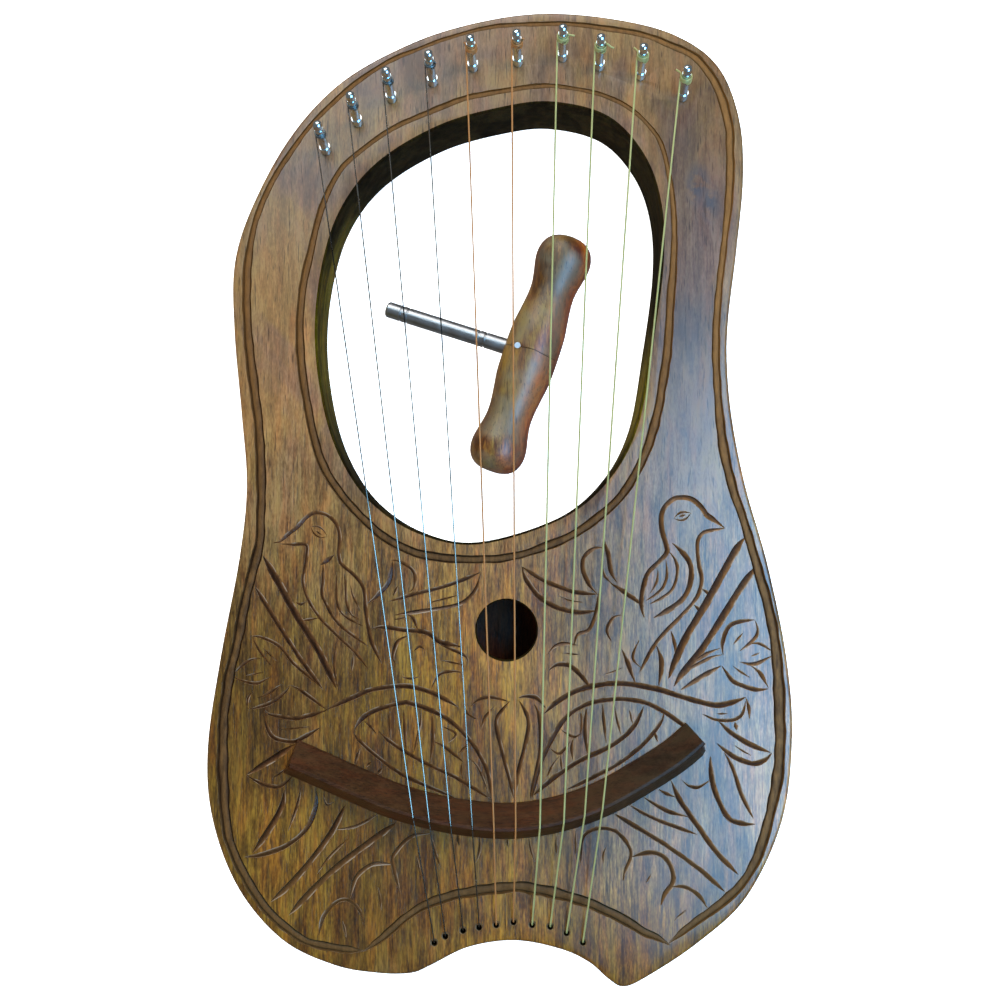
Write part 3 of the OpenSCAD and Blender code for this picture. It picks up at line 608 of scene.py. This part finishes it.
def sheesham(name, tones, tint=None, gloss=0.36, relief=0.00008, along="Y", coat=0.0, polish=0.27,
             figure=0.34, shine=0.3):
    """Sheesham whose tones are dark, middle and pale: clouds and streaks of colour, fine grain and short
    dark pores along it."""
    n = Nodes(name)

    def run(k):
        return n.stretched((k, 1, 1) if along == "X" else (1, k, 1))

    fine = n.noise(run(0.12), 860, 3, 0.6)
    flecks = n.noise(run(0.25), 1500, 2, 0.5)
    streaks = n.noise(run(0.07), 210, 4, 0.6, 0.3)
    clouds = n.noise(run(0.32), 44, 5, 0.6, 1.0)
    pores = n.remap(n.noise(run(0.07), 1300, 1, 0.5), 0.37, 0.30)
    tone = n.times(clouds, figure)
    for value, share in ((streaks, 0.6 - figure), (fine, 0.22), (flecks, 0.18)):
        tone = n.math("ADD", tone, n.times(value, share))
    colour = n.ramp(tone, list(zip((0.415, 0.49, 0.565), tones)))
    hue = n.ramp(n.noise(run(0.14), 170, 4, 0.65, 0.3),
                 [(0.38, (1.12, 0.91, 0.82)), (0.5, (1, 1, 1)), (0.62, (0.94, 1.02, 0.96))])
    colour = n.tinted(1.0, colour, hue)
    if tint is not None:
        colour = tint(n, colour)
    colour = n.mix(n.times(pores, 0.6), colour, tuple(0.3 * c for c in tones[0]))
    rough = n.remap(fine, 0.3, 0.7, gloss - 0.07, gloss + 0.12)
    raised = n.math("SUBTRACT", n.times(fine, 0.8), n.times(pores, 0.8))
    uneven = n.bump(n.noise(run(0.3), 70, 2, 0.5), 0.0012, 0.5)
    normal = n.bump(raised, relief, 0.6, Normal=uneven)
    return n.done(colour, rough, Normal=normal, Specular_IOR_Level=shine, Coat_Weight=coat,
                  Coat_Roughness=polish)


def patches(n, *places):
    """1 inside patches on the front and 0 away from them. Each place is x, y, inner and outer radius, and
    a patch reaches further along the grain."""
    grain = 0.55
    found = None
    for x, y, inner, outer in places:
        inputs = {0: n.stretched((1, grain, 0)), 1: (x, y * grain, 0)}
        spot = n.add("ShaderNodeVectorMath", inputs, operation="DISTANCE")
        patch = n.remap(spot.outputs["Value"], outer, inner)
        found = patch if found is None else n.math("MAXIMUM", found, patch)
    return found


def front_tint(n, colour):
    """Golden olive low down, greyer brown and cloudy up the arms, with dark knots in the right arm."""
    x, y = n.axis("X"), n.axis("Y")
    cloud = n.noise(n.stretched((1, 0.5, 1)), 26, 4, 0.6, 0.8)
    drift = n.noise(n.stretched((1, 0.5, 1)), 12, 3, 0.55)
    calm = n.math("MAXIMUM", n.remap(y, -0.03, 0.06, 0.0, 0.46), n.remap(x, 0.04, 0.10, 0.0, 0.12))
    colour = n.mix(calm, colour, (0.122, 0.070, 0.027))
    light = patches(n, (-0.122, 0.060, 0.010, 0.050), (-0.020, -0.045, 0.010, 0.050),
                    (0.075, -0.240, 0.010, 0.045), (0.155, -0.160, 0.010, 0.045),
                    (-0.125, -0.170, 0.005, 0.024))
    colour = n.tinted(light, colour, (1.38, 1.34, 1.25))
    aged = patches(n, (-0.140, -0.130, 0.010, 0.050), (0.106, 0.060, 0.006, 0.035),
                   (0.110, 0.215, 0.008, 0.040), (-0.070, -0.215, 0.008, 0.045))
    colour = n.tinted(aged, colour, (0.72, 0.68, 0.66))
    low_left = n.times(n.remap(y, 0.05, -0.10), n.remap(x, 0.13, -0.02))
    golden = n.math("MAXIMUM", low_left, n.remap(y, -0.19, -0.235))
    colour = n.tinted(n.times(golden, n.remap(drift, 0.15, 0.42)), colour, (0.78, 0.67, 0.16))
    grain = n.ramp(n.noise(n.stretched((1, 0.08, 1)), 1000, 3, 0.6),
                   [(0.36, (0.62, 0.60, 0.56)), (0.5, (1, 1, 1)), (0.64, (1.36, 1.38, 1.42))])
    colour = n.tinted(n.remap(y, 0.02, -0.05), colour, grain)
    mottle = n.ramp(cloud, [(0.34, (0.62, 0.60, 0.95)), (0.46, (0.92, 0.88, 1.10)),
                            (0.56, (1.06, 1.03, 0.90)), (0.66, (1.18, 1.02, 0.82))])
    colour = n.tinted(n.remap(y, -0.08, 0.10, 0.35, 1.0), colour, mottle)
    grey = n.times(n.remap(y, -0.06, 0.12), n.remap(drift, 0.62, 0.38), 0.45)
    colour = n.tinted(grey, colour, (1.0, 1.05, 1.35))
    middle = n.times(n.remap(n.math("ABSOLUTE", x), 0.055, 0.012), n.remap(y, 0.0, -0.05))
    colour = n.tinted(n.times(middle, n.remap(drift, 0.3, 0.5)), colour, (1.35, 1.25, 0.80))
    knots = patches(n, (0.104, 0.098, 0.003, 0.020), (0.112, 0.158, 0.002, 0.026),
                    (0.100, 0.192, 0.002, 0.016))
    knots = n.times(knots, n.remap(cloud, 0.35, 0.55), 0.75)
    colour = n.mix(knots, colour, (0.022, 0.020, 0.024))
    hearts = patches(n, (0.110, 0.170, 0.0015, 0.0085), (0.117, 0.160, 0.001, 0.0075))
    hearts = n.times(hearts, n.remap(n.noise(n.coords, 150, 3, 0.6), 0.38, 0.52), 0.8)
    return n.mix(hearts, colour, (0.028, 0.032, 0.042))


def wall_tint(n, colour):
    """Painted shade: walls coloured almost black, with lighter olive patches at the left and the lower
    right of the opening.
    """
    cloud = n.noise(n.stretched((1, 0.4, 1)), 22, 3, 0.55)
    olive = patches(n, (-0.100, 0.095, 0.012, 0.048), (0.084, 0.050, 0.010, 0.034))
    return n.tinted(n.times(olive, n.remap(cloud, 0.30, 0.55)), colour, (5.5, 6.0, 1.2))


def inner_face_shade(n, colour):
    """Back plate whose face inside the box is painted dark: partly raw wood, partly painted shade."""
    return n.tinted(n.remap(n.axis("Z"), 0.0030, 0.0038), colour, (0.30, 0.13, 0.06))


def turned_tint(n, colour):
    """Key handle: red along one flank and golden along the other, partly heartwood and partly painted
    shading of the flanks; a painted pale sheen on top.
    """
    # red and golden flanks: partly heartwood, partly painted shading
    across = n.math("ADD", n.along((0.946, -0.326, 0)), 0.0091)
    colour = n.tinted(n.remap(across, 0.000, 0.010), colour, (2.10, 0.90, 0.38))
    colour = n.tinted(n.remap(across, -0.006, -0.013), colour, (1.15, 1.00, 0.35))
    # painted sheen: the top of the handle is mixed towards pale grey-green in clouds
    cloud = n.noise(n.coords, 34, 3, 0.55)
    painted_top_sheen = n.times(n.remap(n.axis("Z"), 0.021, 0.027), n.remap(cloud, 0.42, 0.56), 0.5)
    return n.mix(painted_top_sheen, colour, (0.125, 0.120, 0.080))


def bridge_sheen_tint(n, colour):
    """Bridge: its right end is painted greyer and bluer, as a painted sheen."""
    return n.tinted(n.remap(n.axis("X"), 0.02, 0.08), colour, (0.60, 0.85, 1.25))


def cut_material(name, levels, rough, shine):
    """Stained carving, coloured by its depth: darker where the tool went deep, partly from the staining and
    partly painted shade, with painted pale glints at the lip.
    """
    n = Nodes(name)
    x, y = n.axis("X"), n.axis("Y")
    level = n.remap(n.axis("Z"), 0.0360, 0.0380)
    grain = n.ramp(n.noise(n.stretched((1, 0.3, 1)), 500, 4, 0.6),
                   [(0.32, (0.55, 0.52, 0.50)), (0.5, (1, 1, 1)), (0.68, (1.5, 1.5, 1.5))])
    # darker with depth: stain in the cuts and painted shade
    stain_and_shade = n.tinted(1.0, n.ramp(level, levels), grain)
    high = n.remap(y, -0.04, 0.12)
    stain_and_shade = n.tinted(high, stain_and_shade, (1.35, 1.18, 1.00))
    stain_and_shade = n.mix(n.times(high, 0.5), stain_and_shade, (0.112, 0.053, 0.015))
    stain_and_shade = n.tinted(n.remap(x, 0.07, 0.14), stain_and_shade, (1.35, 1.42, 1.45))
    stain_and_shade = n.mix(n.remap(y, -0.175, -0.215, 0.0, 0.45), stain_and_shade, (0.078, 0.042, 0.013))
    # painted highlight: pale glints on the lips of the cuts, more of them low down
    glint_noise = n.math("ADD", n.noise(n.coords, 130, 2, 0.5), n.remap(y, -0.14, -0.19, 0.0, 0.07))
    lip = n.times(n.remap(level, 0.80, 0.97), n.remap(glint_noise, 0.48, 0.60), 0.75)
    colour = n.mix(lip, stain_and_shade, (0.24, 0.19, 0.14))
    chips = n.bump(n.noise(n.coords, 700, 3, 0.6), 0.0003, 0.8)
    return n.done(colour, rough, Normal=chips, Specular_IOR_Level=shine)


def rim_material(name):
    n = Nodes(name)
    colour = n.ramp(n.noise(n.coords, 900, 3), [(0.35, (0.05, 0.025, 0.008)), (0.65, (0.12, 0.075, 0.03))])
    return n.done(colour, 0.6)


def painted_string_shade(n, tone, colour, below_bridge_shade):
    """String painted darker below the bridge and almost black over the opening, as painted shade."""
    y = n.axis("Y")
    # painted shade: darker below the bridge, almost black over the opening
    tone = n.mix(n.remap(y, -0.170, -0.186), tone, tuple(c * below_bridge_shade for c in colour))
    painted_dark_over_opening = n.times(n.remap(y, -0.016, 0.004), n.remap(y, 0.165, 0.130), 0.88)
    return n.mix(painted_dark_over_opening, tone, tuple(c * 0.05 for c in colour))


def metal(name, colour, rough, scratch=0.00002, wound=None, metallic=1.0, below_bridge_shade=None):
    """Metal with a slightly uneven polish. A wound string has bands of wire, close together as wound says;
    a string with a shade factor is painted darker below the bridge and almost black over the opening, as
    painted shade."""
    n = Nodes(name)
    cloud = n.noise(n.coords, 160, 4)
    tone = n.ramp(cloud, [(0.3, tuple(c * 0.86 for c in colour)), (0.7, colour)])
    if below_bridge_shade is not None:
        tone = painted_string_shade(n, tone, colour, below_bridge_shade)
    roughness = n.remap(cloud, 0.3, 0.7, rough * 0.8, rough * 1.25)
    if wound is not None:
        inputs = {"Vector": n.coords, "Scale": wound}
        wave = n.add("ShaderNodeTexWave", inputs, wave_type="BANDS", bands_direction="Y")
        normal = n.bump(wave.outputs["Fac"], 0.00006, 0.7)
    else:
        normal = n.bump(n.noise(n.stretched((1, 0.2, 1)), 1400, 2), scratch, 0.5)
    return n.done(tone, roughness, Normal=normal, Metallic=metallic)


body_wood = sheesham("body_wood", [(0.044, 0.021, 0.007), (0.114, 0.064, 0.024), (0.200, 0.124, 0.052)],
                     front_tint, coat=1.0)
# walls of the opening and of every bore and hole: wood painted almost black, as painted shade
shaded_wall_wood = sheesham("opening_wall_wood",
                     [(0.0035, 0.0024, 0.0008), (0.0080, 0.0052, 0.0014), (0.016, 0.011, 0.0025)],
                     wall_tint, gloss=0.85, shine=0.04)
inside_wood = sheesham("inside_wood", [(0.020, 0.012, 0.008), (0.055, 0.034, 0.022), (0.09, 0.06, 0.04)],
                       gloss=0.7)
back_wood = sheesham("back_wood", [(0.042, 0.020, 0.008), (0.115, 0.062, 0.026), (0.20, 0.122, 0.055)],
                     inner_face_shade, shine=0.12)
brace_wood = sheesham("brace_wood", [(0.16, 0.10, 0.055), (0.26, 0.17, 0.10), (0.36, 0.25, 0.15)],
                      gloss=0.7, along="X")
bridge_wood = sheesham("bridge_wood",
                       [(0.018, 0.0064, 0.0020), (0.031, 0.0118, 0.0038), (0.046, 0.018, 0.006)],
                       bridge_sheen_tint, gloss=0.42, relief=0.00005, along="X", shine=0.2)
key_wood = sheesham("key_wood", [(0.030, 0.010, 0.0015), (0.084, 0.036, 0.005), (0.155, 0.092, 0.016)],
                    turned_tint, gloss=0.45, relief=0.00004, coat=1.0, polish=0.42, figure=0.5)
# depth colours of the cuts: the deep stops are dark partly as painted shade
groove = cut_material("carved_groove", [
    (0.35, (0.019, 0.0072, 0.0026)), (0.60, (0.033, 0.0133, 0.0042)), (0.80, (0.062, 0.0265, 0.008)),
    (1.0, (0.092, 0.044, 0.014))], 0.34, 0.36)
channel = cut_material("carved_channel", [
    (0.05, (0.028, 0.0125, 0.0045)), (0.34, (0.038, 0.018, 0.006)), (0.48, (0.060, 0.030, 0.009)),
    (0.66, (0.066, 0.034, 0.011)), (0.84, (0.050, 0.025, 0.008)), (1.0, (0.074, 0.040, 0.014))], 0.60, 0.18)
rim = rim_material("worn_rim")
steel_wire = metal("steel_string", (0.31, 0.27, 0.22), 0.25, 0.000004, metallic=0.95, below_bridge_shade=0.4)
copper_wire = metal("copper_string", (0.34, 0.15, 0.045), 0.42, wound=600, metallic=0.35)
brass_wire = metal("brass_string", (0.31, 0.32, 0.13), 0.42, metallic=0.35)
steel_coil = metal("steel_coil", (0.20, 0.22, 0.22), 0.34, metallic=0.9)
chrome = metal("nickel_plate", (0.86, 0.95, 0.96), 0.17)
key_steel = metal("key_steel", (0.66, 0.65, 0.64), 0.36, 0.000004)
nail_steel = metal("nail_steel", (0.92, 0.92, 0.92), 0.5)
pale = Nodes("pale_floor").done((0.92, 0.92, 0.92), 0.9, Specular_IOR_Level=0.0,
                                Emission_Color=(1, 1, 1), Emission_Strength=1.0)
WIRES = [steel_wire] * 4 + [copper_wire] * 2 + [brass_wire] * 4
COILS = [steel_coil] * 4 + WIRES[4:]


# ---------------------------------------------------------------- body, with its real carving
def rounded(curve, r, sign):
    """Levels of an outline through the body, with edges rounded inwards (sign -1) or outwards (sign 1)."""
    turns = [math.radians(22.5 * k) for k in range(5)]
    back = [(r - r * math.cos(a), grown(curve, sign * (r - r * math.sin(a)))) for a in turns]
    front = [(BODY_T - r + r * math.sin(a), grown(curve, sign * (r - r * math.cos(a)))) for a in turns]
    return back + front


body = prism(rounded(smooth_closed(OUTLINE, 8), EDGE_R, -1), body_wood, "carved_body")
opening = rounded(smooth_closed(OPENING, 8), OPENING_EDGE_R, 1)
hollow = smooth_closed(HOLLOW, 5)
ledge = grown(hollow, LEDGE)
cutters = [
    prism([(-2, opening[0][1]), *opening, (BODY_T + 2, opening[-1][1])], shaded_wall_wood),
    prism([(-1, hollow), (BODY_T - FRONT_T, hollow)], inside_wood),
    prism([(-1, ledge), (BACK_T, ledge)], inside_wood),
]
hole_x, hole_y, hole_r = SOUND_HOLE
cutters.append(bore(hole_x, hole_y, [(BODY_T - FRONT_T - 3, hole_r), (BODY_T - 0.7, hole_r),
                                     (BODY_T + 0.3, hole_r + 1)], 96, shaded_wall_wood))
for x, y in TAIL_HOLES:
    cutters.append(bore(x, y, [(-1, HOLE_R), (BODY_T + 1, HOLE_R)], 32, shaded_wall_wood))
    cutters.append(bore(x, y, [(-1, COUNTERBORE_R), (COUNTERBORE_DEPTH, COUNTERBORE_R)], 48, inside_wood))
    # lip of the hole, worn wider towards the bridge
    cutters.append(prism([(BODY_T - 0.55, circle(x, y + 0.25, HOLE_R - 0.15, 32)),
                          (BODY_T + 0.2, circle(x, y + 0.55, HOLE_R + 1.05, 32))], rim))
pin_axis = Vector((-math.tan(PIN_LEAN), math.tan(PIN_BACK), 1)).normalized()
pin_side = pin_axis.cross(Vector((0, 1, 0))).normalized()
pin_front = pin_side.cross(pin_axis)


def pin_place(i):
    """Matrix that puts Z along pin i, from its foot on the front."""
    place = Matrix((pin_side, pin_front, pin_axis)).transposed().to_4x4()
    place.translation = Vector((*PIN_FEET[i], BODY_T))
    return place


for i in range(STRINGS):
    place = pin_place(i)
    cutters.append(revolved([(-PIN_IN - 1, PIN_BORE_R), (5, PIN_BORE_R)], place, 40, shaded_wall_wood))
    cutters.append(revolved([(-0.5, PIN_BORE_R + 0.05), (1.2, PIN_BORE_R + 0.9)], place, 40, groove))
cutters += [gouge(width, points, True) for width, points in CLOSED_CARVING]
cutters += [gouge(width, points, False) for width, points in CARVING]
cut(body, cutters)
shade(body, 25)
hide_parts("body")
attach(body, "lyre")

# ---------------------------------------------------------------- tuning key's handle
BULB_R = 16.0
MIDDLE_R = 15.85
HALF_HANDLE = 71
SHAFT_R = 4.6
SHAFT_LEN = 89
FIT = 0.06                # clearance round the shaft
NAIL = Matrix.Translation((6.5, 0, 0))
NAIL_HOLE_R = 0.97
NAIL_HEAD_R = 1.8
NAIL_HEAD_Z = 14.1

# Z is up and X runs down the shaft, which slopes until its tip rests on the table
KEY = (Matrix.Translation((17.7, 79.2, BULB_R)) @ Matrix.Rotation(math.radians(180 - 19), 4, "Z")
       @ Matrix.Rotation(math.asin((BULB_R - SHAFT_R) / SHAFT_LEN), 4, "Y"))
half = [(0.0, MIDDLE_R), (14, 15.5), (22.5, 14.4), (30, 13.4), (36, 12.95), (41, 13.2), (47, 14.3),
        (53, 15.6), (57.5, BULB_R), (62, 15.4), (66, 13.6), (69, 10.4), (70.6, 6.0), (HALF_HANDLE, 0.05)]
profile = smooth_open([(-z, r) for z, r in reversed(half)] + half[1:], 6)
profile = [(max(-HALF_HANDLE, min(z, HALF_HANDLE)), max(0.05, min(r, BULB_R))) for z, r in profile]
handle = revolved(profile, KEY @ Matrix.Rotation(math.radians(-90), 4, "X"), 96, key_wood, "turned_handle")
shaft_hole = [(-7, SHAFT_R + FIT), (40, SHAFT_R + FIT)]
key_cutters = [
    revolved(shaft_hole, KEY @ Matrix.Rotation(math.radians(90), 4, "Y"), 48, shaded_wall_wood),
    revolved([(0, NAIL_HOLE_R), (30, NAIL_HOLE_R)], KEY @ NAIL, 24, shaded_wall_wood),
    revolved([(NAIL_HEAD_Z, NAIL_HEAD_R), (20, NAIL_HEAD_R)], KEY @ NAIL, 32, shaded_wall_wood),
]
# thin dark crack over the top, from the shaft past the nail
CRACK_SECTION = ((-0.2, -0.7), (0.2, -0.7), (0.2, 1.5), (-0.2, 1.5))
crack = []
for x, y in smooth_open([(14.5, 0.3), (10, 0.4), (4, 0.1), (-3, -0.3), (-9, 0.2), (-15, 0.1)], 5):
    top = math.sqrt(MIDDLE_R ** 2 - x * x)
    crack.append([tuple(KEY @ Vector((x, y + dy, top + dz))) for dy, dz in CRACK_SECTION])
key_cutters.append(sweep("cutter", crack, groove))
cut(handle, key_cutters)
shade(handle, 30)
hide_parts("key_handle")
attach(handle, "tuning_key")

# ---------------------------------------------------------------- string windings with their cut ends
TURNS = 2.7
PITCH = 0.98              # in wire diameters
COIL_STEPS = 66
END_STEPS = 8
# where each winding leaves its pin, in degrees, and the length of its cut end
CUT_ENDS = [(20, 1.2), (15, 1.0), (200, 1.2), (190, 1.0), (15, 1.5), (160, 1.2), (170, 3.6), (175, 4.6),
            (20, 3.4), (15, 3.8)]
CURLED = 7                # the winding whose cut end curls


def winding_path(i):
    """Turns of string i round its pin, from the bottom up, and its cut end."""
    d = STRING_D[i]
    r = PIN_R + 0.02 + d / 2
    leaves_at, tail = CUT_ENDS[i]
    path = []
    for k in range(COIL_STEPS + 1):
        t = k / COIL_STEPS
        a = math.radians(leaves_at - 360 * TURNS + 360 * TURNS * t)
        path.append(Vector((r * math.cos(a), r * math.sin(a), WRAP_UP + d * (1.1 + PITCH * TURNS * t))))
    a = math.radians(leaves_at)
    out = Vector((-math.sin(a), math.cos(a), 0))
    away = Vector((math.cos(a), math.sin(a), 0))
    end = path[-1]
    for k in range(1, END_STEPS + 1):
        t = k / END_STEPS
        curl = 0.9 * math.sin(t * 4.4) if i == CURLED else 0.35 * t
        path.append(end + out * tail * t * 0.55 + away * tail * t * t * 0.9 + Vector((0, 0, curl)))
    return path


for i in range(STRINGS):
    place = pin_place(i)
    path = [place @ point for point in winding_path(i)]
    coil = tube("string_winding_%02d" % (i + 1), path, STRING_D[i] / 2, 10, COILS[i])
    outward(coil)
    coil.data.shade_smooth()
    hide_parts("winding_%02d" % (i + 1))
    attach(coil, "pin_%02d" % (i + 1))

# ---------------------------------------------------------------- finishes of the CAD pieces that stay
finish_of = {"back_plate": back_wood, "upper_brace": brace_wood, "lower_brace": brace_wood,
             "bridge": bridge_wood, "string_ball_ends": brass_wire, "key_shaft": key_steel,
             "key_nail": nail_steel}
for i in range(STRINGS):
    finish_of["string_%02d" % (i + 1)] = WIRES[i]
    finish_of["tuning_pin_%02d" % (i + 1)] = chrome
for node, material in finish_of.items():
    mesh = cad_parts[node].data
    mesh.materials.clear()
    mesh.materials.append(material)

# ---------------------------------------------------------------- floor, light and camera
FAR = 6000
FLOOR_Z = -0.3
floor = mesh_object("floor", [(-FAR, -FAR, FLOOR_Z), (FAR, -FAR, FLOOR_Z), (FAR, FAR, FLOOR_Z),
                              (-FAR, FAR, FLOOR_Z)], [(0, 1, 2, 3)], pale)
floor.visible_glossy = False


def area_light(name, place, target, size, power, colour, mirrored=False):
    """Rectangular lamp; only mirrored ones show in polished surfaces."""
    data = bpy.data.lights.new(name, "AREA")
    data.shape = "RECTANGLE"
    data.size, data.size_y = size
    data.energy = power
    data.color = colour
    obj = bpy.data.objects.new(name, data)
    bpy.context.scene.collection.objects.link(obj)
    obj.location = Vector(place)
    obj.rotation_mode = "QUATERNION"
    obj.rotation_quaternion = (Vector(target) - Vector(place)).to_track_quat("-Z", "Y")
    obj.visible_glossy = mirrored


area_light("key", (0.60, 0.60, 0.95), (0, 0, 0.03), (0.45, 0.45), 13.0, (1.0, 0.95, 0.86))
area_light("window", (0.54, -0.17, 0.98), (0.54, -0.17, 0.0), (0.62, 0.86), 17.0, (0.19, 0.56, 1.0), True)
area_light("sheen", (-0.26, 0.60, 0.98), (-0.26, 0.60, 0.0), (0.40, 0.30), 1.3, (0.62, 0.85, 1.0), True)
area_light("fill_left", (-1.5, -0.5, 1.1), (0, 0, 0.0), (1.2, 1.2), 30.0, (1.0, 0.93, 0.82))
area_light("fill_far", (-0.3, 1.9, 1.2), (0, 0, 0.0), (1.6, 0.8), 26.0, (1.0, 0.95, 0.88))
area_light("far_card", (-0.20, 1.00, 0.70), (0, 0.05, 0.0), (0.90, 0.50), 4.2, (0.96, 0.98, 1.0), True)
area_light("fill_near", (0.2, -1.9, 1.2), (0, 0, 0.0), (1.6, 0.8), 11.0, (1.0, 0.93, 0.80))

world = bpy.data.worlds.new("studio")
world.use_nodes = True
world.node_tree.nodes["Background"].inputs["Color"].default_value = (1.0, 1.0, 1.0, 1)
world.node_tree.nodes["Background"].inputs["Strength"].default_value = 0.12
bpy.context.scene.world = world
bpy.context.scene.view_settings.view_transform = "Standard"

camera_data = bpy.data.cameras.new("camera")
camera_data.sensor_width = 36.0
camera_data.lens = 38.99
camera_data.clip_start = 0.01
camera = bpy.data.objects.new("camera", camera_data)
bpy.context.scene.collection.objects.link(camera)
eye, aim = Vector((0, -0.0324, 0.633)), Vector((0, -0.0054, 0.038))
forward = (aim - eye).normalized()
right = Vector((1, 0, 0))
up = right.cross(forward)
camera.matrix_world = Matrix.Translation(eye) @ Matrix((right, up, -forward)).transposed().to_4x4()
bpy.context.scene.camera = camera

bpy.context.view_layer.update()
